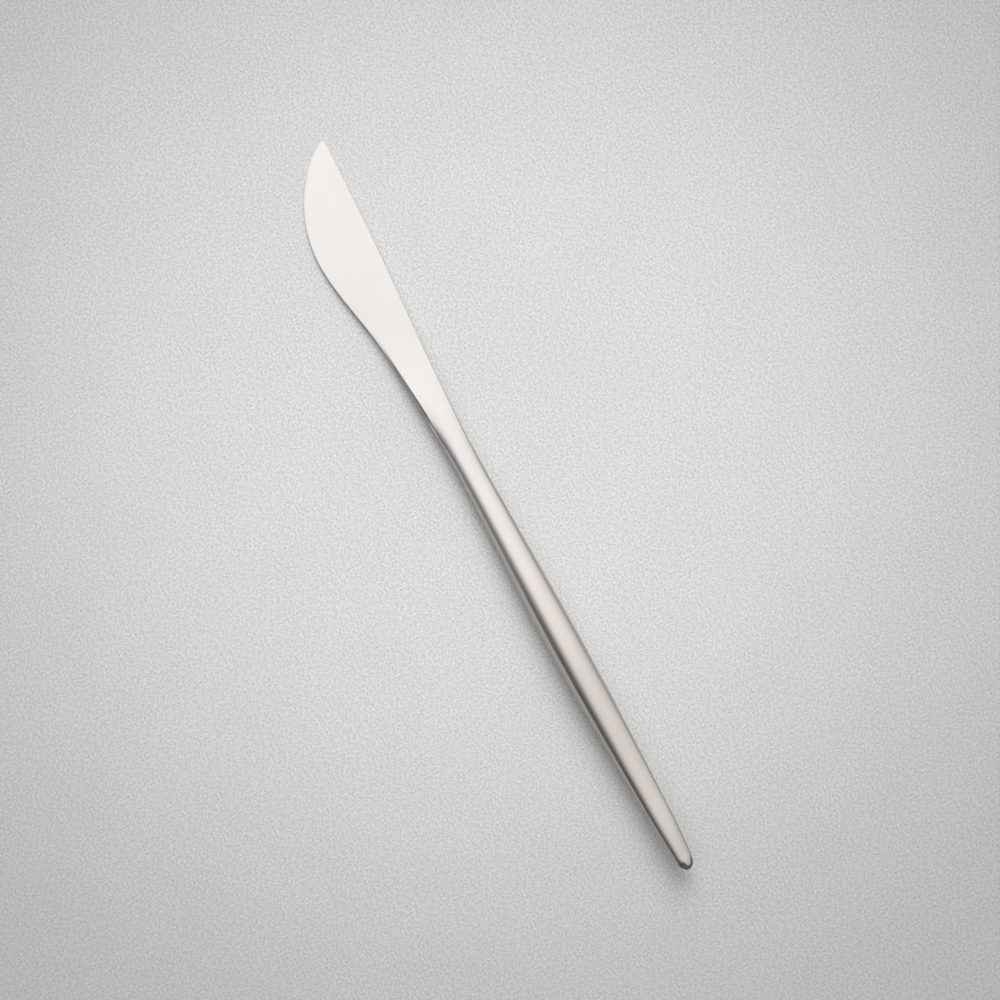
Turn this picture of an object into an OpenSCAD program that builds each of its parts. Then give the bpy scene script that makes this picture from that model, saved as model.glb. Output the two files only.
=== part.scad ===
// Fish knife: a flat rolled blade with a round tang, a slim solid handle with a
// blind socket, and the filler metal that joins the two at the narrow neck.
// X runs from the point to the end of the handle, Y towards the back, Z up.
// The knife lies on the plane z = 0, on three places: the underside of the handle, the
// corner of the point, and the edge's side of the blade's front.

/* [Overall] */
// Length from the point to the end of the handle
length = 210; // [198:1:222]
// Length of the blade, from the point to the seam in the neck
blade_len = 86; // [80:1:92]

/* [Blade outline] */
// Distance from the point to the widest place
belly_at = 28; // [24:1:32]
// Distance from the point to the heel, where the edge ends
heel_at = 55; // [50:1:60]
// Distance from the point to the shoulder, halfway from the heel to the neck
shoulder_at = 72; // [66:1:78]
// How far the point lies from the knife's axis, on the back's side
point_reach = 7.9; // [6:0.05:9]
// Radius of the rounded point
point_round = 0.5; // [0.3:0.05:0.8]
// From the axis to the back at the widest place
belly_back = 6.7; // [5.5:0.05:8]
// From the axis to the edge at the widest place
belly_edge = 8.7; // [7:0.05:10]
// From the axis to the back at the heel
heel_back = 4.85; // [4.4:0.05:5.6]
// From the axis to the edge at the heel
heel_edge = 5; // [4.4:0.05:6]
// From the axis to the back at the shoulder
shoulder_back = 3.85; // [3.6:0.05:4.3]
// From the axis to the edge's side at the shoulder
shoulder_edge = 3.95; // [3.6:0.05:4.3]

/* [Blade thickness] */
// Thickness of the back at the point
point_thick = 1.2; // [0.9:0.05:1.5]
// Thickness of the back at the widest place
back_thick = 1.8; // [1.5:0.05:2.2]
// Thickness of the back at the heel
heel_thick = 2.4; // [2:0.05:2.8]
// Thickness of the blade where the bevel starts
bevel_thick = 0.8; // [0.75:0.05:1]
// Thickness left at the edge, blunt as on every fish knife
edge_thick = 0.6; // [0.4:0.05:0.7]
// Width of the bevel along the edge
bevel_width = 1; // [0.5:0.05:1.2]
// Width of the same bevel at the neck, where it runs out
neck_bevel = 0.7; // [0.4:0.05:1]
// Radius of the rounded corners of the back
back_round = 0.3; // [0.15:0.05:0.38]

/* [Handle] */
// Distance from the point to the narrowest place of the neck
neck_at = 89; // [86:1:94]
// Distance from the point to the widest place of the handle
swell_at = 144; // [138:1:154]
// Distance from the point to the start of the tapered end
taper_at = 193; // [184:1:196]
// Width of the neck
neck_width = 6.85; // [6.2:0.05:7.6]
// Thickness of the neck
neck_thick = 5; // [4.6:0.1:5.4]
// From the axis to the back's side of the handle at its widest place
swell_back = 4.05; // [3.6:0.05:5]
// From the axis to the edge's side of the handle at its widest place
swell_edge = 4.65; // [3.6:0.05:5.2]
// Thickness of the handle at its widest place
swell_thick = 8.2; // [7.4:0.1:8.8]
// Width of the handle where the tapered end starts
taper_width = 6.2; // [5.4:0.1:7]
// Thickness of the handle where the tapered end starts
taper_thick = 4; // [3.6:0.1:4.8]
// Width that the taper would reach at the very end
end_width = 4.2; // [3.4:0.1:5.2]
// Thickness that the taper would reach at the very end
end_thick = 3; // [2.6:0.1:3.6]
// Length over which the outline of the end rounds off
end_round = 4.5; // [3:0.1:6]
// Length over which the top and the underside round off at the end
end_roll = 2.6; // [1.6:0.1:3.6]

/* [Joint] */
// Diameter of the tang
tang_dia = 3; // [2.6:0.1:3.4]
// Length of the tang beyond the seam
tang_len = 18; // [12:1:24]
// Gap around the tang that the filler metal takes up
braze_gap = 0.1; // [0.05:0.05:0.2]
// Space left past the end of the tang
socket_spare = 0.6; // [0.3:0.1:1.5]

/* [Hidden] */
steel = [0.75, 0.72, 0.7];
filler = [0.86, 0.8, 0.66];

// The edge is bowed from the point to the widest place: these two powers set how
// evenly it sweeps round and how sharply it leaves the point
sweep_power = 2;
leave_power = 1.35;
// Fullness of the round section: 2 is an ellipse and more is squarer
neck_power = 2.1;
swell_power = 2;
// Fullness of the rounded end, seen from above and from the side
end_power = 2.8;
roll_power = 2;
// The outermost bit of the point, which draws to one corner
nose = 0.05;
// Share of the local width that the bevel and the back's corners may take
corner_share = 0.3;
// Four places, as shares of the way from the heel to the neck: from where to where the
// edge grows into a side wall, and from where to where the flat section turns round
wall_from_share = -0.32;
wall_to_share = 0.7;
turn_from_share = 0.35;
turn_to_share = 1.15;
// Height of the side wall at the neck and of the bevel above it, as shares of the height
wall_top_share = 0.57;
bevel_top_share = 0.97;
// The tang reaches back into the blade's root by this share of its own length
root_share = 0.2;
// Corners on half of a section, and sections along each stretch
half_ring = 21;
bow_steps = 18;
root_steps = 26;
bar_steps = 34;
end_steps = 12;
round_fn = 64;

// A smooth line through places [distance from the point, value]. Between two places
// it is a cubic; it is level where the values turn and never swings past a place.
function chord(line, i) = (line[i + 1][1] - line[i][1]) / (line[i + 1][0] - line[i][0]);
function mean_lean(a, b) = a * b <= 0 ? 0 : 2 * a * b / (a + b);
function lean(line, i) =
    i == 0 ? chord(line, 0)
    : i == len(line) - 1 ? chord(line, i - 1)
    : mean_lean(chord(line, i - 1), chord(line, i));
function span_of(line, x, i = 0) =
    i >= len(line) - 2 || x <= line[i + 1][0] ? i : span_of(line, x, i + 1);
function cubic(line, i, u) =
    let(run = line[i + 1][0] - line[i][0])
    line[i][1] * (1 - u * u * (3 - 2 * u)) + line[i + 1][1] * u * u * (3 - 2 * u)
    + run * u * (1 - u) * (lean(line, i) * (1 - u) - lean(line, i + 1) * u);
function along(line, x) =
    let(i = span_of(line, x))
    cubic(line, i, (x - line[i][0]) / (line[i + 1][0] - line[i][0]));
function clamp_share(u) = min(1, max(0, u));
function ease(u) = u * u * (3 - 2 * u);

// Outline and thickness along the knife
back_line = [
    [0, point_reach], [belly_at, belly_back], [heel_at, heel_back],
    [shoulder_at, shoulder_back], [neck_at, neck_width / 2], [swell_at, swell_back],
    [taper_at, taper_width / 2], [length, end_width / 2]];
edge_line = [
    [0, -point_reach], [belly_at, belly_edge], [heel_at, heel_edge],
    [shoulder_at, shoulder_edge], [neck_at, neck_width / 2], [swell_at, swell_edge],
    [taper_at, taper_width / 2], [length, end_width / 2]];
thick_line = [
    [0, point_thick], [belly_at, back_thick], [heel_at, heel_thick],
    [neck_at, neck_thick], [swell_at, swell_thick],
    [taper_at, taper_thick], [length, end_thick]];
power_line = [[0, neck_power], [neck_at, neck_power], [swell_at, swell_power], [length, swell_power]];
tip_reach = point_reach - point_round;
function past(x, from_share, to_share) =
    ease(clamp_share(((x - heel_at) / (neck_at - heel_at) - from_share) / (to_share - from_share)));

function end_share(x) = pow(1 - pow(clamp_share(1 - (length - x) / end_round), end_power), 1 / 2);
function roll_share(x) = pow(1 - pow(clamp_share(1 - (length - x) / end_roll), roll_power), 1 / roll_power);
function bow(u) = pow(1 - pow(1 - u, sweep_power), 1 / leave_power);
function point_cut(x) = point_round * (1 - sqrt(1 - pow(1 - clamp_share(x / point_round), 2)));
function back_reach(x) = (along(back_line, x) - point_cut(x)) * end_share(x);
function edge_reach(x) =
    x < belly_at
    ? -tip_reach + (belly_edge + tip_reach) * bow(x / belly_at)
    : along(edge_line, x) * end_share(x);
function thick(x) = along(thick_line, x) * roll_share(x);

// One half of the flat section, from the edge over the upper face to the back. The
// edge's wall and bevel are low in the blade, and grow to nearly full height at the neck.
function flat_half(x) =
    let(
        back = back_reach(x), edge = edge_reach(x), spare = corner_share * (back + edge),
        top = thick(x) / 2, round = min(back_round, spare, top),
        grown = past(x, wall_from_share, wall_to_share),
        bevel = min(bevel_width * (1 - grown) + neck_bevel * grown, spare),
        wall = edge_thick / 2 * (1 - grown) + wall_top_share * top * grown,
        face = bevel_thick / 2 * (1 - grown) + bevel_top_share * top * grown,
        faces = half_ring - 4)
    concat(
        [[-edge, 0], [-edge, wall]],
        [for (i = [0 : faces - 1])
            let(u = i / (faces - 1))
            [-edge + bevel + u * (back + edge - bevel - round), face + u * (top - face)]],
        [for (turn = [45, 90]) [back - round * (1 - sin(turn)), top - round * (1 - cos(turn))]],
        [[back, 0]]);

// The same half of the round section
function full_power(value, power) = sign(value) * pow(abs(value), 2 / power);
function round_half(x) =
    let(back = back_reach(x), edge = edge_reach(x), power = along(power_line, x))
    [for (i = [0 : half_ring])
        let(turn = 180 - 180 * i / half_ring, across = full_power(cos(turn), power))
        [(across > 0 ? back : edge) * across, thick(x) / 2 * full_power(sin(turn), power)]];

// A whole section: the flat one turns into the round one at the neck
function section(x) =
    let(
        share = past(x, turn_from_share, turn_to_share),
        flat = flat_half(x), full = round_half(x),
        half = [for (i = [0 : half_ring]) flat[i] * (1 - share) + full[i] * share])
    concat(
        [for (p = half) [x, p[0], p[1]]],
        [for (i = [half_ring - 1 : -1 : 1]) [x, half[i][0], -half[i][1]]]);

// The corners at the two ends of the knife
point = [0, tip_reach, 0];
tail = [length, 0, 0];

// Places of the sections: close together at the point and at the rounded end
blade_places = concat(
    [nose], [for (i = [1 : bow_steps - 1]) belly_at * (1 - cos(90 * i / bow_steps))],
    [for (i = [0 : root_steps]) belly_at + (blade_len - belly_at) * i / root_steps]);
handle_places = concat(
    [for (i = [0 : bar_steps - 1]) blade_len + (length - end_round - blade_len) * i / bar_steps],
    [for (i = [0 : end_steps - 1]) length - end_round + end_round * sin(90 * i / end_steps)]);

// How the knife lies. It leans along its length, because the handle is thicker than the
// blade, and towards the edge, because the blade is thinner there. Both angles are found
// by halving, so that the handle's underside, the point's corner and the edge's side of
// the blade touch the table together. The last move puts the box on the origin.
steepest_lie = 10;
halvings = 15;
function rolled(p, roll) =
    [p[0], p[1] * cos(roll) - p[2] * sin(roll), p[1] * sin(roll) + p[2] * cos(roll)];
function pitched(p, pitch) =
    [p[0] * cos(pitch) - p[2] * sin(pitch), p[1], p[0] * sin(pitch) + p[2] * cos(pitch)];
function low(points, pitch) =
    let(rise = sin(pitch), drop = cos(pitch))
    min([for (p = points) p[0] * rise + p[2] * drop]);
function pitch_on(front, rear, small = 0, large = steepest_lie, steps = halvings) =
    let(angle = (small + large) / 2)
    steps == 0 ? angle
    : low(rear, angle) < low(front, angle) ? pitch_on(front, rear, angle, large, steps - 1)
    : pitch_on(front, rear, small, angle, steps - 1);
function roll_on(front, rear, small = 0, large = steepest_lie, steps = halvings) =
    let(
        angle = (small + large) / 2,
        turned = [for (p = front) rolled(p, angle)],
        pitch = pitch_on(turned, [for (p = rear) rolled(p, angle)]),
        to_edge = [for (p = turned) if (p[1] < 0) p],
        to_back = [for (p = turned) if (p[1] > 0) p])
    steps == 0 ? angle
    : low(to_back, pitch) < low(to_edge, pitch) ? roll_on(front, rear, angle, large, steps - 1)
    : roll_on(front, rear, small, angle, steps - 1);
blade_skin = concat([point], [for (x = blade_places) for (p = section(x)) p]);
handle_skin = concat([tail], [for (x = handle_places) for (p = section(x)) p]);
blade_foot = [for (p = blade_skin) if (p[2] <= 0) p];
handle_foot = [for (p = handle_skin) if (p[2] <= 0) p];
lie_roll = roll_on(blade_foot, handle_foot);
lie_pitch = pitch_on([for (p = blade_foot) rolled(p, lie_roll)], [for (p = handle_foot) rolled(p, lie_roll)]);
skin = [for (p = concat(blade_skin, handle_skin)) pitched(rolled(p, lie_roll), lie_pitch)];
skin_x = [for (p = skin) p[0]];
skin_y = [for (p = skin) p[1]];
skin_z = [for (p = skin) p[2]];
home = [
    -(min(skin_x) + max(skin_x)) / 2,
    -(min(skin_y) + max(skin_y)) / 2,
    -min(skin_z)];

module laid() {
    translate(home) rotate([lie_roll, -lie_pitch, 0]) children();
}

// A solid through sections of equal count. An end is flat, unless a peak is given
// for it: then it draws to that one corner.
module loft(sections, near_peak = [], far_peak = []) {
    ring = len(sections[0]);
    last = len(sections) - 1;
    corners = [each [for (s = sections) each s], if (near_peak != []) near_peak, if (far_peak != []) far_peak];
    next = function(j) (j + 1) % ring;
    sides = [for (i = [0 : last - 1]) for (j = [0 : ring - 1])
        let(a = i * ring + j, b = i * ring + next(j))
        each [[a, b, b + ring], [a, b + ring, a + ring]]];
    near_end = near_peak == []
        ? [[for (j = [ring - 1 : -1 : 0]) j]]
        : [for (j = [0 : ring - 1]) [next(j), j, (last + 1) * ring]];
    far_end = far_peak == []
        ? [[for (j = [0 : ring - 1]) last * ring + j]]
        : [for (j = [0 : ring - 1]) [last * ring + j, last * ring + next(j), len(corners) - 1]];
    polyhedron(corners, concat(sides, near_end, far_end), convexity = 4);
}

// A round bar along the knife's axis
module round_bar(from, to, dia) {
    translate([from, 0, 0]) rotate([0, 90, 0]) cylinder(h = to - from, d = dia, $fn = round_fn);
}

// Rolled blade with its neck shoulder and the tang that goes into the handle
module blade() {
    color(steel) laid() {
        loft([for (x = blade_places) section(x)], near_peak = point);
        round_bar(blade_len - root_share * tang_len, blade_len + tang_len, tang_dia);
    }
}

// Forged handle with the blind socket for the tang
module handle() {
    color(steel) laid() difference() {
        loft([for (x = handle_places) section(x)], far_peak = tail);
        round_bar(blade_len - socket_spare, blade_len + tang_len + socket_spare, tang_dia + 2 * braze_gap);
    }
}

// Filler metal all round the tang, sealed in by the ground seam
module braze_sleeve() {
    color(filler) laid() difference() {
        round_bar(blade_len, blade_len + tang_len, tang_dia + 2 * braze_gap);
        round_bar(blade_len - socket_spare, blade_len + tang_len + socket_spare, tang_dia);
    }
}

blade();
handle();
braze_sleeve();
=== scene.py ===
"""Fish knife of satin steel, lying on a pale floor, seen from straight above.

The blade and the handle are built again here from the same outline and sections as the
CAD solids, in finer steps. The corners at the edge are softened, the back's corner is
crisper, the bevel's width follows the photograph along the heel and neck, and the point
thins down. Both get the same brushed steel.
"""

import math

import bpy
from mathutils import Matrix, Vector


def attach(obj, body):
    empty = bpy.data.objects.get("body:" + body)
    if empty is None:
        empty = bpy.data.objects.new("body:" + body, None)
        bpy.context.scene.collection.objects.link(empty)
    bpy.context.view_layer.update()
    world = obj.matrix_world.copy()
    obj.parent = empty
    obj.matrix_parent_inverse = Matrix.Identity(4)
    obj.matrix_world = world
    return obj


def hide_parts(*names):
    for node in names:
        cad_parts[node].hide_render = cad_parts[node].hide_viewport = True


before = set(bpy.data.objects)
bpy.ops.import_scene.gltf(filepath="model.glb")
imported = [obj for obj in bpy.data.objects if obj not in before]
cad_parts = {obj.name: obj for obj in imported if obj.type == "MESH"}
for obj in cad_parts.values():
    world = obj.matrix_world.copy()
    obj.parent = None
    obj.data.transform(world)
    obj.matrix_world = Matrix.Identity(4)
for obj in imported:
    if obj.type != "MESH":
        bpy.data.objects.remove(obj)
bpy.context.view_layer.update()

MM = 0.001

# Sizes in millimetres, measured from the point along the knife's axis
LENGTH = 210.0
BLADE_LEN = 86.0
BELLY_AT = 28.0
HEEL_AT = 55.0
SHOULDER_AT = 72.0
NECK_AT = 89.0
SWELL_AT = 144.0
TAPER_AT = 193.0
POINT_REACH = 7.9
POINT_ROUND = 0.5
TIP_REACH = POINT_REACH - POINT_ROUND
BEVEL_THICK = 0.8
EDGE_THICK = 0.6
BACK_ROUND = 0.1
BELLY_EDGE = 8.7
END_ROUND = 4.5
END_ROLL = 2.6
TANG_DIA = 3.0
TANG_LEN = 18.0
BRAZE_GAP = 0.1
SOCKET_SPARE = 0.6

# Lines along the knife: distance from the point, and value there
BACK_LINE = [(0, POINT_REACH), (BELLY_AT, 6.7), (HEEL_AT, 4.85), (SHOULDER_AT, 3.85),
             (NECK_AT, 3.425), (SWELL_AT, 4.05), (TAPER_AT, 3.1), (LENGTH, 2.1)]
EDGE_LINE = [(0, -POINT_REACH), (BELLY_AT, BELLY_EDGE), (HEEL_AT, 5.0), (SHOULDER_AT, 3.95),
             (NECK_AT, 3.425), (SWELL_AT, 4.65), (TAPER_AT, 3.1), (LENGTH, 2.1)]
THICK_LINE = [(0, 1.2), (BELLY_AT, 1.8), (HEEL_AT, 2.4), (NECK_AT, 5.0),
              (SWELL_AT, 8.2), (TAPER_AT, 4.0), (LENGTH, 3.0)]
BEVEL_LINE = [(0, 1.0), (44, 1.0), (62, 0.52), (70, 0.72), (76, 1.0), (84, 0.75),
              (92, 0.7), (LENGTH, 0.7)]
POWER_LINE = [(0, 2.1), (NECK_AT, 2.1), (SWELL_AT, 2.0), (LENGTH, 2.0)]

# Powers of the edge's bow in front of the belly, and of the handle's rounded end
SWEEP_POWER = 2.0
LEAVE_POWER = 1.35
END_POWER = 2.8
ROLL_POWER = 2.0

# Shares: of the width that a corner may take, of the way from the heel to the neck where
# the edge's wall grows and the section turns round, and of the thickness that the full
# wall and bevel reach. The point thins over its first millimetres.
CORNER_SHARE = 0.3
WALL_FROM, WALL_TO = -0.32, 0.7
TURN_FROM, TURN_TO = 0.35, 1.15
WALL_TOP, BEVEL_TOP = 0.57, 0.97
POINT_THIN = 8.0

# Marks round half a section, from the edge (0) over the upper face to the back (21), how
# far the softened corners reach, and the fine steps from one stop to the next
LAST_MARK = 21
EDGE_CORNER = 1
BEVEL_CORNER = 2
BACK_CORNER = 18
BACK_WALL = 20
CORNER_REACH = {EDGE_CORNER: 0.07, BEVEL_CORNER: 0.45}
FINE_STEPS = [4, 6, 3, 7, 44, 10, 4]

# Steps along the bow and the root of the blade, and along the handle's bar and end: as
# many as the CAD solids have, to work out how they lie, and more for the pieces shown
CAD_BLADE_STEPS, CAD_HANDLE_STEPS = (18, 26), (34, 12)
BLADE_STEPS, HANDLE_STEPS = (90, 110), (150, 48)
HALVINGS = 18
STEEPEST_LEAN = math.radians(10)
SHARP_ANGLE = math.radians(40)

# Camera, from the photograph: its frame, the knife's direction in it and its place
FRAME_WIDTH = 258.1
FOCAL = 85.0
SENSOR = 36.0
AXIS_IN_FRAME = (0.4815, -0.8770)
CAMERA_OVER = (103.6, 2.97)
SILHOUETTE_HEIGHT = 2.5
CLIP_NEAR, CLIP_FAR = 0.01, 50

# Looks. A fade is the span of a value and what it gives at the span's two ends. Spans
# along X are in metres, and slopes are the upward part of the normal, 1 on level faces.
RISE, FALL = (0, 1), (1, 0)
BLADE_TONE, END_TONE = (0.75, 0.72, 0.704, 1), (0.76, 0.70, 0.66, 1)
WARM_ALONG = (-0.03, 0.055), RISE
WARM_BY_SLOPE = (0.55, 0.85), FALL

# Brush marks: scale and detail of both kinds, the fine kind's share, the slant on the
# blade, where they turn straight, and what their highs and lows do to tone and gloss
FINE_MARKS = (90, 3500, 3500), 2.0
BROAD_MARKS = (30, 1100, 1100), 3.0
FINE_SHARE = 0.6
BLADE_SLANT = math.radians(18)
STRAIGHT_ALONG = (-0.05, -0.03), RISE
MARK_SHADE = (0.3, 0.7), (0.98, 1.02)
MARK_GLOSS = (0.3, 0.7), (0.28, 0.32)
MARK_BUMP, MARK_DEPTH = 0.35, 4e-6
PATCHES = (60, 160, 160), 2.0
PATCH_SHADE = (0.3, 0.7), (0.99, 1.01)

# Painted shade in the colour: the steep sides behind the blade, the rim of the rounded end,
# which tilts towards the edge and stays on the upper half, and the last centimetre
SIDE_SHADE_BY_SLOPE = (0.52, 0.72), (0.4, 0)
SIDE_SHADE_ALONG = (-0.055, -0.03), RISE
RIM_SHADE_BY_SLOPE = (0.92, 0.99), (0.78, 0)
RIM_SHADE_TILT = 0.27
RIM_SHADE_ALONG = (0.1015, 0.103), RISE
RIM_SHADE_ABOVE = (0, 0.4), (0.25, 1)
END_SHADE_ALONG = (0.088, 0.102), (1, 0.9)

# Filler: its two tones, scale and detail of its lumps, their bump, and its roughness
FILLER_DARK, FILLER_PALE = (0.66, 0.56, 0.38, 1), (0.78, 0.69, 0.5, 1)
LUMPS = (900, 900, 900), 3.0
LUMP_BUMP, LUMP_DEPTH = 0.3, 2e-5
FILLER_ROUGHNESS = 0.35

# Floor: its reach and the middle of the pool of light painted on it in metres, how that
# painted light falls off, and how its tone varies
FLOOR_REACH = 6.0
LIGHT_POOL_MIDDLE = (-0.027, 0.0127, 0)
LIGHT_POOL_FALLOFF = (0.04, 0.22), (0.66, 0.41)
CLOUDS = (40, 40, 40), 2.0
CLOUD_SHADE = (0, 1), (0.98, 1.02)
GRAIN = (1700, 1700, 1700), 3.0, 0.65
GRAIN_SHADE = (0.25, 0.75), (0.78, 1.22)
FLOOR_ROUGHNESS = 0.95

# Light: strengths of the dome and the backdrop, fades of the window by degrees of lean
# across and along the knife, where the dark part of the dome takes over, how far round
# from the edge's bearing the metal sees it, and the lamp
WINDOW, DUSK, DUSK_PAST_POINT, BACKDROP = 1.48, 0.02, 0.32, 0.62
WINDOW_ACROSS = [((-61, -19), RISE), ((20, 100), (1, 0.75))]
WINDOW_ALONG = [((-52, -16), RISE), ((-30, 15), (1, 0.585)), ((9, 32), FALL)]
DUSK_ALONG = (-10, 1), (DUSK_PAST_POINT, DUSK)
BACKDROP_ROUND = (22, 34), (0, BACKDROP)
LAMP_STRENGTH = 2.5
LAMP_SPREAD = math.radians(40)
LAMP_ALONG, LAMP_ACROSS = math.radians(-48), math.radians(29.5)


def steps(first, last, count):
    """count + 1 even values from first to last."""
    return [first + (last - first) * i / count for i in range(count + 1)]


def clamp(value):
    return min(1.0, max(0.0, value))


def ease(share):
    return share * share * (3 - 2 * share)


def along(line, x):
    """The smooth line through the places of `line`, level where its values turn."""
    chords = [(b[1] - a[1]) / (b[0] - a[0]) for a, b in zip(line, line[1:])]
    leans = [chords[0]]
    leans += [0 if a * b <= 0 else 2 * a * b / (a + b) for a, b in zip(chords, chords[1:])]
    leans.append(chords[-1])
    i = 0
    while i < len(line) - 2 and x > line[i + 1][0]:
        i += 1
    run = line[i + 1][0] - line[i][0]
    share = (x - line[i][0]) / run
    bend = run * share * (1 - share) * (leans[i] * (1 - share) - leans[i + 1] * share)
    return line[i][1] * (1 - ease(share)) + line[i + 1][1] * ease(share) + bend


def closing(x, reach, power, root):
    """From 1 down to 0 over the last `reach` of the handle."""
    return (1 - clamp(1 - (LENGTH - x) / reach) ** power) ** (1 / root)


def back_reach(x):
    cut = POINT_ROUND * (1 - math.sqrt(1 - (1 - clamp(x / POINT_ROUND)) ** 2))
    return (along(BACK_LINE, x) - cut) * closing(x, END_ROUND, END_POWER, 2)


def edge_reach(x):
    if x < BELLY_AT:
        bow = (1 - (1 - x / BELLY_AT) ** SWEEP_POWER) ** (1 / LEAVE_POWER)
        return -TIP_REACH + (BELLY_EDGE + TIP_REACH) * bow
    return along(EDGE_LINE, x) * closing(x, END_ROUND, END_POWER, 2)


def thickness(x):
    return along(THICK_LINE, x) * closing(x, END_ROLL, ROLL_POWER, ROLL_POWER)


def past(x, from_share, to_share):
    """From 0 to 1 between two shares of the way from the heel to the neck."""
    share = (x - HEEL_AT) / (NECK_AT - HEEL_AT)
    return ease(clamp((share - from_share) / (to_share - from_share)))


def flat_corner_path(x):
    """The blade's half section as a function of the mark, with sharp edge corners. Over
    the first few millimetres the faces thin down to the edge's own thickness."""
    back, edge, top = back_reach(x), edge_reach(x), thickness(x) / 2
    spare = CORNER_SHARE * (back + edge)
    grown = past(x, WALL_FROM, WALL_TO)
    bevel = min(along(BEVEL_LINE, x), spare)
    corner = min(BACK_ROUND, spare, top)
    wall = EDGE_THICK / 2 * (1 - grown) + WALL_TOP * top * grown
    face = BEVEL_THICK / 2 * (1 - grown) + BEVEL_TOP * top * grown
    full = ease(clamp(x / POINT_THIN))
    face, top = wall + (face - wall) * full, wall + (top - wall) * full

    def at(mark):
        if mark <= EDGE_CORNER:
            return Vector((-edge, wall * mark))
        if mark <= BEVEL_CORNER:
            share = mark - EDGE_CORNER
            return Vector((-edge + bevel * share, wall + (face - wall) * share))
        if mark <= BACK_CORNER:
            share = (mark - BEVEL_CORNER) / (BACK_CORNER - BEVEL_CORNER)
            across = -edge + bevel + share * (back + edge - bevel - corner)
            return Vector((across, face + share * (top - face)))
        if mark <= BACK_WALL:
            turn = math.pi / 2 * (mark - BACK_CORNER) / (BACK_WALL - BACK_CORNER)
            across = back - corner * (1 - math.sin(turn))
            return Vector((across, top - corner * (1 - math.cos(turn))))
        return Vector((back, (top - corner) * (LAST_MARK - mark)))

    return at


def flat_point(path, mark):
    """A point on that path, with the corners at the edge softened."""
    for corner, reach in CORNER_REACH.items():
        if abs(mark - corner) < reach:
            share = (mark - corner + reach) / (2 * reach)
            before, after = path(corner - reach), path(corner + reach)
            return (before * (1 - share) ** 2 + path(corner) * 2 * share * (1 - share)
                    + after * share ** 2)
    return path(mark)


def full_power(value, power):
    return math.copysign(abs(value) ** (2 / power), value)


def round_point(x, mark):
    """The handle's half section, a full oval."""
    turn = math.pi * (1 - mark / LAST_MARK)
    power = along(POWER_LINE, x)
    across = full_power(math.cos(turn), power)
    reach = back_reach(x) if across > 0 else edge_reach(x)
    return Vector((reach * across, thickness(x) / 2 * full_power(math.sin(turn), power)))


def half_section(x, marks):
    """The upper half of the section at x: flat in the blade, round from the neck on."""
    share = past(x, TURN_FROM, TURN_TO)
    path = flat_corner_path(x)
    return [flat_point(path, m) * (1 - share) + round_point(x, m) * share for m in marks]


def ring(x, half):
    """A whole ring of points from its upper half; the lower half mirrors it."""
    upper = [Vector((x, p[0], p[1])) for p in half]
    return upper + [Vector((p.x, p.y, -p.z)) for p in reversed(upper[1:-1])]


def section(x, marks):
    return ring(x, half_section(x, marks))


def circle(x, radius, marks):
    turns = [math.pi * (1 - m / LAST_MARK) for m in marks]
    return ring(x, [(radius * math.cos(t), radius * math.sin(t)) for t in turns])


# Places of the sections, close together at the point and at the rounded end
def blade_places(bow_steps, root_steps):
    turns = steps(0, math.pi / 2, bow_steps)[1:-1]
    return ([BELLY_AT * (1 - math.cos(t)) for t in turns]
            + steps(BELLY_AT, BLADE_LEN, root_steps))


def handle_places(bar_steps, end_steps):
    start = LENGTH - END_ROUND
    turns = steps(0, math.pi / 2, end_steps)[:-1]
    return (steps(BLADE_LEN, start, bar_steps)[:-1]
            + [start + END_ROUND * math.sin(t) for t in turns])


def rolled(p, roll):
    return Matrix.Rotation(roll, 3, "X") @ p


def low(points, pitch):
    rise, drop = math.sin(pitch), math.cos(pitch)
    return min(p.x * rise + p.z * drop for p in points)


def halved(too_small, small, large):
    """The value between small and large at which too_small stops being true."""
    for _ in range(HALVINGS):
        middle = (small + large) / 2
        small, large = (middle, large) if too_small(middle) else (small, middle)
    return (small + large) / 2


def lie():
    """The move from the knife's own axis to the way that it lies on the floor: on the
    handle's underside, on the point's corner and on the edge's side of the blade."""
    marks = list(range(LAST_MARK + 1))
    point, tail = Vector((0, TIP_REACH, 0)), Vector((LENGTH, 0, 0))
    front = [point] + [p for x in blade_places(*CAD_BLADE_STEPS) for p in section(x, marks)]
    rear = [tail] + [p for x in handle_places(*CAD_HANDLE_STEPS) for p in section(x, marks)]
    front_foot = [p for p in front if p.z <= 0]
    rear_foot = [p for p in rear if p.z <= 0]

    def pitch_for(roll):
        turned = [rolled(p, roll) for p in front_foot]
        behind = [rolled(p, roll) for p in rear_foot]
        return halved(lambda pitch: low(behind, pitch) < low(turned, pitch), 0, STEEPEST_LEAN)

    def back_is_low(roll):
        turned, pitch = [rolled(p, roll) for p in front_foot], pitch_for(roll)
        to_edge = [p for p in turned if p.y < 0]
        to_back = [p for p in turned if p.y > 0]
        return low(to_back, pitch) < low(to_edge, pitch)

    roll = halved(back_is_low, 0, STEEPEST_LEAN)
    turn = Matrix.Rotation(-pitch_for(roll), 3, "Y") @ Matrix.Rotation(roll, 3, "X")
    skin = [turn @ p for p in front + rear]
    lowest = [min(p[i] for p in skin) for i in range(3)]
    highest = [max(p[i] for p in skin) for i in range(3)]
    middle = [(a + b) / 2 for a, b in zip(lowest, highest)]
    home = Vector((-middle[0], -middle[1], -lowest[2]))
    return Matrix.Translation(home) @ turn.to_4x4()


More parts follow.
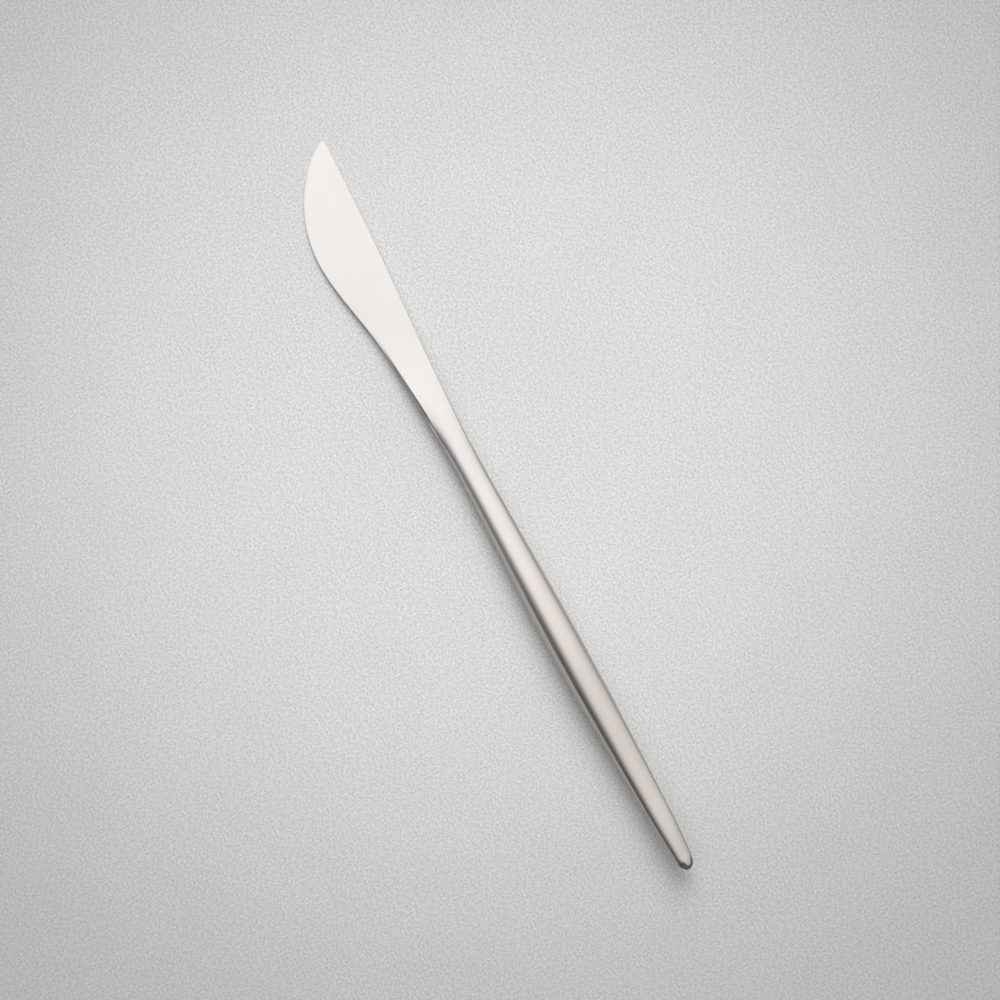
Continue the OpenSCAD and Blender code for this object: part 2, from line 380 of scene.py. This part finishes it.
def skin_through(name, first_peak, rings, last_peak, move):
    """One closed mesh through rings of equal count, drawn to a peak at both ends."""
    count = len(rings[0])
    corners = [p for r in rings for p in r] + [first_peak, last_peak]
    faces = []
    for i in range(len(rings) - 1):
        for j in range(count):
            a, b = i * count + j, i * count + (j + 1) % count
            faces.append((a, b, b + count, a + count))
    start, end = len(corners) - 2, len(corners) - 1
    final = (len(rings) - 1) * count
    faces += [((j + 1) % count, j, start) for j in range(count)]
    faces += [(final + j, final + (j + 1) % count, end) for j in range(count)]
    mesh = bpy.data.meshes.new(name)
    mesh.from_pydata([(move @ p) * MM for p in corners], [], faces)
    mesh.validate()
    mesh.shade_smooth()
    mesh.set_sharp_from_angle(angle=SHARP_ANGLE)
    piece = bpy.data.objects.new(name, mesh)
    bpy.context.scene.collection.objects.link(piece)
    return piece


def fine_marks():
    """Marks of the fine sections, close together round the corners."""
    turns = [(corner - reach, corner + reach) for corner, reach in CORNER_REACH.items()]
    stops = [0, *turns[0], *turns[1], BACK_CORNER, BACK_WALL, LAST_MARK]
    runs = zip(stops, stops[1:], FINE_STEPS)
    return [0] + [m for a, b, count in runs for m in steps(a, b, count)[1:]]


def build_blade(move, marks):
    radius, tang_end = TANG_DIA / 2, BLADE_LEN + TANG_LEN
    rings = [section(x, marks) for x in blade_places(*BLADE_STEPS)]
    rings += [circle(BLADE_LEN, radius, marks), circle(tang_end, radius, marks)]
    point, peak = Vector((0, TIP_REACH, 0)), Vector((tang_end, 0, 0))
    return skin_through("blade_body", point, rings, peak, move)


def build_handle(move, marks):
    radius, bottom = TANG_DIA / 2 + BRAZE_GAP, BLADE_LEN + TANG_LEN + SOCKET_SPARE
    rings = [circle(bottom, radius, marks), circle(BLADE_LEN, radius, marks)]
    rings += [section(x, marks) for x in handle_places(*HANDLE_STEPS)]
    peak, tail = Vector((bottom, 0, 0)), Vector((LENGTH, 0, 0))
    return skin_through("handle_body", peak, rings, tail, move)


class Nodes:
    """Short calls that add shader nodes to one material or world."""

    def __init__(self, tree):
        self.tree = tree
        tree.nodes.clear()

    def add(self, kind, inputs=None, **settings):
        """Adds a node. Each input gets a link where it is given a socket, or a value."""
        made = self.tree.nodes.new(kind)
        for name, value in settings.items():
            setattr(made, name, value)
        for name, value in (inputs or {}).items():
            if isinstance(value, bpy.types.NodeSocket):
                self.tree.links.new(value, made.inputs[name])
            else:
                made.inputs[name].default_value = value
        return made

    def math(self, operation, a, b=0.0):
        return self.add("ShaderNodeMath", {0: a, 1: b}, operation=operation).outputs[0]

    def product(self, first, *others):
        for other in others:
            first = self.math("MULTIPLY", first, other)
        return first

    def fade(self, value, span, ends):
        """Eases from one of the ends to the other while value crosses the span."""
        inputs = {"Value": value, "From Min": span[0], "From Max": span[1],
                  "To Min": ends[0], "To Max": ends[1]}
        made = self.add("ShaderNodeMapRange", inputs, interpolation_type="SMOOTHSTEP")
        return made.outputs[0]

    def mix(self, share, a, b):
        return self.add("ShaderNodeMix", {0: share, 6: a, 7: b}, data_type="RGBA").outputs[2]

    def grey(self, value):
        return self.add("ShaderNodeCombineColor", {0: value, 1: value, 2: value}).outputs[0]

    def parts(self, vector):
        return self.add("ShaderNodeSeparateXYZ", {0: vector}).outputs

    def noise(self, place, scale, detail, roughness=0.5):
        stretched = self.add("ShaderNodeMapping", {"Vector": place, "Scale": scale})
        inputs = {"Vector": stretched.outputs[0], "Scale": 1.0,
                  "Detail": detail, "Roughness": roughness}
        return self.add("ShaderNodeTexNoise", inputs).outputs[0]

    def surface(self, inputs):
        shader = self.add("ShaderNodeBsdfPrincipled", inputs)
        self.add("ShaderNodeOutputMaterial", {"Surface": shader.outputs[0]})

    def bare_metal(self, colour, roughness, heights, strength, depth):
        bump = self.add("ShaderNodeBump", {
            "Height": heights, "Strength": strength, "Distance": depth})
        self.surface({"Base Color": colour, "Metallic": 1.0, "Roughness": roughness,
                      "Normal": bump.outputs[0]})


def new_material(name):
    material = bpy.data.materials.new(name)
    material.use_nodes = True
    return material, Nodes(material.node_tree)


def brush_marks(nodes, place, slant):
    """Fine and broad brush marks that run along the knife, turned by slant."""
    inputs = {0: place, "Angle": slant}
    turned = nodes.add("ShaderNodeVectorRotate", inputs, rotation_type="Z_AXIS").outputs[0]
    fine = nodes.product(nodes.noise(turned, *FINE_MARKS), FINE_SHARE)
    broad = nodes.product(nodes.noise(turned, *BROAD_MARKS), 1 - FINE_SHARE)
    return nodes.math("ADD", fine, broad)


def satin_steel():
    """Brushed steel, warmer towards the handle's end and on steep sides. Painted shade
    darkens the sides behind the blade, the rim of the rounded end and the last centimetre.
    Its brush marks slant a little on the blade and run along the handle."""
    material, nodes = new_material("satin_steel")
    own = nodes.add("ShaderNodeTexCoord").outputs
    place, normal = own["Object"], nodes.parts(own["Normal"])
    x, upward = nodes.parts(place)[0], normal[2]
    level = nodes.math("ABSOLUTE", upward)
    rim_shade_level = nodes.math("ADD", upward, nodes.product(normal[1], RIM_SHADE_TILT))

    slanted, straight = (brush_marks(nodes, place, slant) for slant in (BLADE_SLANT, 0.0))
    apart = nodes.math("SUBTRACT", straight, slanted)
    turned = nodes.product(apart, nodes.fade(x, *STRAIGHT_ALONG))
    marks = nodes.math("ADD", slanted, turned)
    patches = nodes.noise(place, *PATCHES)

    # painted shade: darkens the colour of the steep sides behind the blade
    side = nodes.product(nodes.fade(level, *SIDE_SHADE_BY_SLOPE), nodes.fade(x, *SIDE_SHADE_ALONG))
    # painted shade: darkens the colour of the rim of the rounded end, more on the edge's side
    rim = nodes.product(nodes.fade(rim_shade_level, *RIM_SHADE_BY_SLOPE), nodes.fade(x, *RIM_SHADE_ALONG),
                        nodes.fade(upward, *RIM_SHADE_ABOVE))
    left_after_painted_shade = nodes.math("SUBTRACT", 1.0, nodes.math("MAXIMUM", side, rim))
    # tone of the brush marks and patches, times the painted shade of the sides, the rim and
    # the last centimetre
    marks_and_painted_shade = nodes.product(nodes.fade(marks, *MARK_SHADE), nodes.fade(patches, *PATCH_SHADE),
                          left_after_painted_shade, nodes.fade(x, *END_SHADE_ALONG))

    warmth = nodes.math("MAXIMUM", nodes.fade(x, *WARM_ALONG),
                        nodes.fade(level, *WARM_BY_SLOPE))
    inputs = {0: nodes.mix(warmth, BLADE_TONE, END_TONE), "Scale": marks_and_painted_shade}
    colour = nodes.add("ShaderNodeVectorMath", inputs, operation="SCALE").outputs[0]
    nodes.bare_metal(colour, nodes.fade(marks, *MARK_GLOSS), marks, MARK_BUMP, MARK_DEPTH)
    return material


def braze_metal():
    """Silver brazing filler, as flowed and set: yellowish, slightly lumpy."""
    material, nodes = new_material("braze_filler")
    lumps = nodes.noise(nodes.add("ShaderNodeTexCoord").outputs["Object"], *LUMPS)
    colour = nodes.mix(lumps, FILLER_DARK, FILLER_PALE)
    nodes.bare_metal(colour, FILLER_ROUGHNESS, lumps, LUMP_BUMP, LUMP_DEPTH)
    return material


def floor_material():
    """Pale plaster, with a pool of light painted round a place beside the blade, as a lit
    backdrop has.
    """
    material, nodes = new_material("pale_floor")
    place = nodes.add("ShaderNodeTexCoord").outputs["Object"]
    inputs = {0: place, 1: LIGHT_POOL_MIDDLE}
    away = nodes.add("ShaderNodeVectorMath", inputs, operation="DISTANCE").outputs["Value"]
    clouds = nodes.fade(nodes.noise(place, *CLOUDS), *CLOUD_SHADE)
    grain = nodes.fade(nodes.noise(place, *GRAIN), *GRAIN_SHADE)
    # random clouds and grain, times the painted pool of light that darkens away from its
    # middle
    tone = nodes.product(clouds, grain, nodes.fade(away, *LIGHT_POOL_FALLOFF))
    nodes.surface({"Base Color": tone, "Roughness": FLOOR_ROUGHNESS})
    return material


def add_floor():
    mesh = bpy.data.meshes.new("floor")
    signs = [(-1, -1), (1, -1), (1, 1), (-1, 1)]
    corners = [(x * FLOOR_REACH, y * FLOOR_REACH, 0) for x, y in signs]
    mesh.from_pydata(corners, [], [(0, 1, 2, 3)])
    mesh.materials.append(floor_material())
    floor = bpy.data.objects.new("floor", mesh)
    bpy.context.scene.collection.objects.link(floor)


def dome_light(nodes):
    """The dome's strength by direction, and what the metal sees in its place: a pale
    backdrop where the dome is darker, except past the edge, where the photograph's
    reflections are dark."""
    direction = nodes.parts(nodes.add("ShaderNodeTexCoord").outputs["Generated"])

    def turned(angle, span, ends):
        return nodes.fade(angle, [math.radians(degrees) for degrees in span], ends)

    lean_x = nodes.math("ARCSINE", direction[0])
    lean_y = nodes.math("ARCTAN2", direction[1], direction[2])
    share = nodes.product(*[turned(lean_y, *fade) for fade in WINDOW_ACROSS],
                          *[turned(lean_x, *fade) for fade in WINDOW_ALONG])
    dark = turned(lean_x, *DUSK_ALONG)
    above_dark = nodes.product(share, nodes.math("SUBTRACT", WINDOW, dark))
    dome = nodes.math("ADD", dark, above_dark)

    bearing = nodes.math("ARCTAN2", direction[1], direction[0])
    from_edge = nodes.math("ABSOLUTE", nodes.math("ADD", bearing, math.pi / 2))
    metal_sees = nodes.math("MAXIMUM", dome, turned(from_edge, *BACKDROP_ROUND))
    return dome, metal_sees


def add_world():
    """A dome that is one large soft window overhead. It is full towards the back, and
    fades out towards the end and past the edge. The camera sees a pale backdrop."""
    world = bpy.data.worlds.new("studio")
    world.use_nodes = True
    nodes = Nodes(world.node_tree)
    dome, metal_sees = dome_light(nodes)
    ray = nodes.add("ShaderNodeLightPath").outputs
    reflected = nodes.math("MAXIMUM", ray["Is Glossy Ray"], ray["Is Transmission Ray"])
    light = nodes.mix(reflected, nodes.grey(dome), nodes.grey(metal_sees))
    light = nodes.mix(ray["Is Camera Ray"], light, (BACKDROP, BACKDROP, BACKDROP, 1))
    background = nodes.add("ShaderNodeBackground", {"Color": light, "Strength": 1.0})
    nodes.add("ShaderNodeOutputWorld", {"Surface": background.outputs[0]})
    bpy.context.scene.world = world


def add_lamp():
    """A soft lamp beyond the point, on the back's side, that gives the shadow its
    direction and doesn't mirror in the metal."""
    lamp = bpy.data.lights.new("key", "SUN")
    lamp.energy, lamp.angle = LAMP_STRENGTH, LAMP_SPREAD
    key = bpy.data.objects.new("key", lamp)
    towards = Vector((math.tan(LAMP_ALONG), math.tan(LAMP_ACROSS), 1))
    key.rotation_euler = towards.to_track_quat("Z", "Y").to_euler()
    key.visible_glossy = False
    bpy.context.scene.collection.objects.link(key)


def add_camera(move):
    """Straight above the knife, turned as the photograph's frame is."""
    data = bpy.data.cameras.new("camera")
    data.lens, data.sensor_width = FOCAL, SENSOR
    data.clip_start, data.clip_end = CLIP_NEAR, CLIP_FAR
    camera = bpy.data.objects.new("camera", data)
    under = move @ Vector((*CAMERA_OVER, 0))
    height = FRAME_WIDTH * FOCAL / SENSOR + SILHOUETTE_HEIGHT
    camera.location = Vector((under.x, under.y, height)) * MM
    camera.rotation_euler = (0, 0, -math.atan2(AXIS_IN_FRAME[1], AXIS_IN_FRAME[0]))
    bpy.context.scene.collection.objects.link(camera)
    bpy.context.scene.camera = camera


def dress_nodes(move):
    """Puts the fine blade and handle in place of their solids, and finishes the sleeve."""
    steel = satin_steel()
    marks = fine_marks()
    for build, node in ((build_blade, "blade"), (build_handle, "handle")):
        piece = build(move, marks)
        piece.data.materials.append(steel)
        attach(piece, "root")
        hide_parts(node)
    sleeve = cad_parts["braze_sleeve"]
    sleeve.data.materials.clear()
    sleeve.data.materials.append(braze_metal())


move = lie()
add_camera(move)
add_world()
add_lamp()
add_floor()
dress_nodes(move)
bpy.context.scene.view_settings.view_transform = "Standard"
